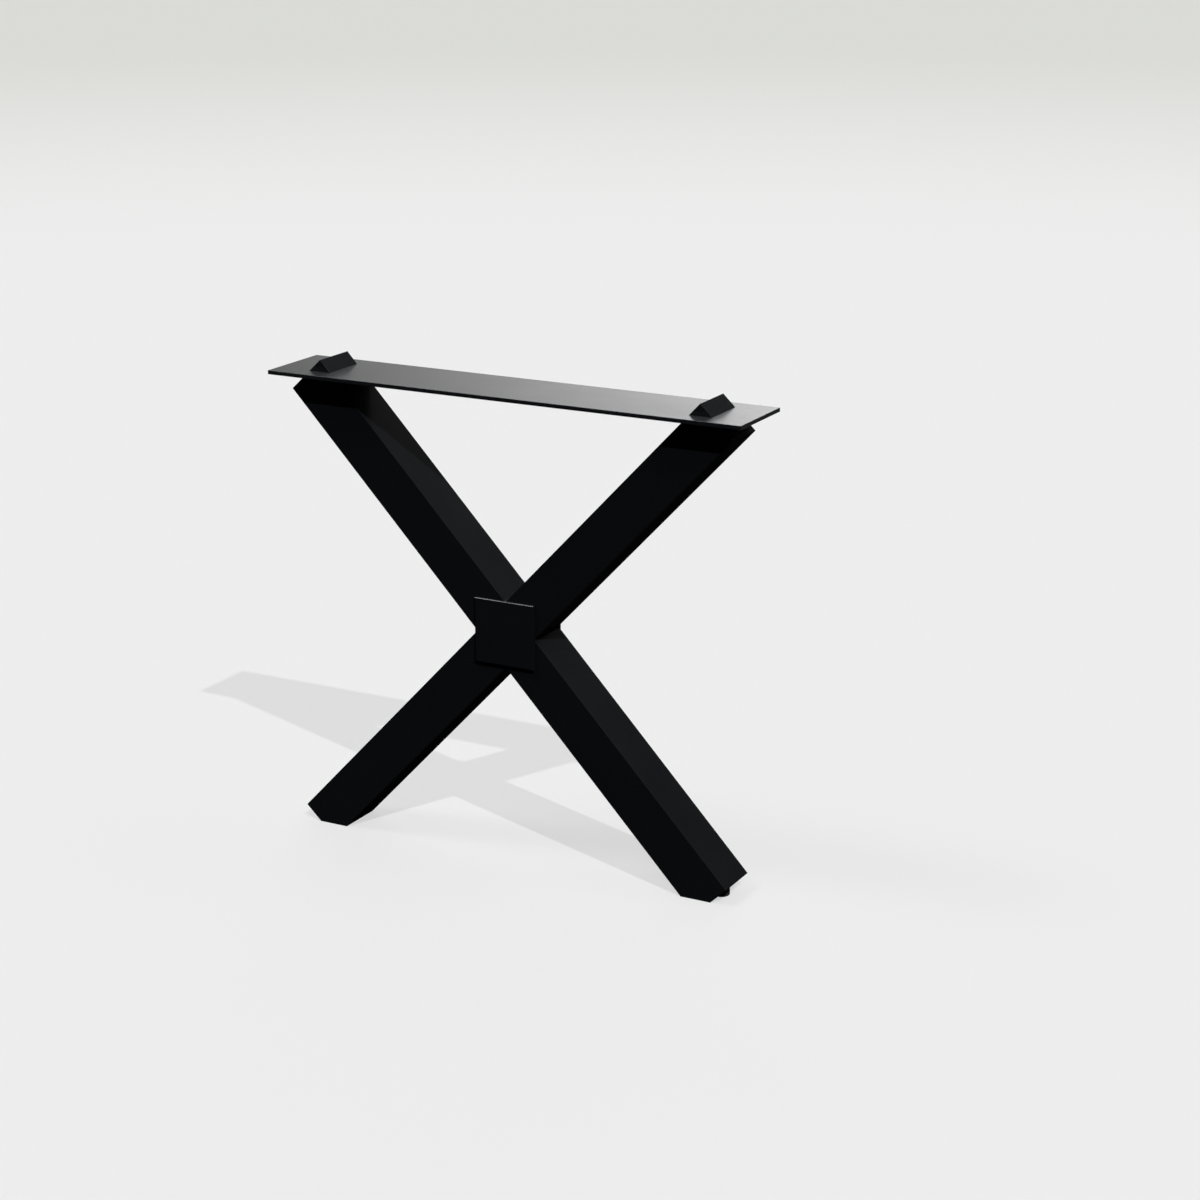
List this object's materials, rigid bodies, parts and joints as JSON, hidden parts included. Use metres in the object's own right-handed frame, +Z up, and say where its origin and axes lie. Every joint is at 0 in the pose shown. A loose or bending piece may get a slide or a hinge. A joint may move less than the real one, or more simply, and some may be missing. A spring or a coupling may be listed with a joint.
{
  "type": "x shaped table leg",
  "caption": "X-shaped black steel table leg: crossed box-section bars on a square hub, a flat plate on top for the table top, and round glides under the feet.",
  "frame": {"origin": "on the floor, below the centre of the leg: halfway between the feet and halfway from front to back", "axes": "+X along the top plate, +Y from the front to the back, +Z up"},
  "size_m": [0.78, 0.13, 0.7419],
  "materials": {
    "black_powder_coat": "satin",
    "black_nylon": "matte",
    "bare_steel": "mill finish",
    "zinc_plated_steel": "zinc plated"
  },
  "bodies": {
    "root": {"top_plate": "black_powder_coat", "hub_sleeve": "black_powder_coat", "hub_cover_front": "black_powder_coat", "hub_cover_back": "black_powder_coat", "arm_upper_left": "black_powder_coat", "cap_upper_left": "black_powder_coat", "arm_lower_left": "black_powder_coat", "cap_lower_left": "black_powder_coat", "sole_left": "black_powder_coat", "glide_left": "black_nylon", "glide_bar_left": "bare_steel", "glide_screw_left": "zinc_plated_steel", "arm_upper_right": "black_powder_coat", "cap_upper_right": "black_powder_coat", "arm_lower_right": "black_powder_coat", "cap_lower_right": "black_powder_coat", "sole_right": "black_powder_coat", "glide_right": "black_nylon", "glide_bar_right": "bare_steel", "glide_screw_right": "zinc_plated_steel"}
  },
  "joints": []
}
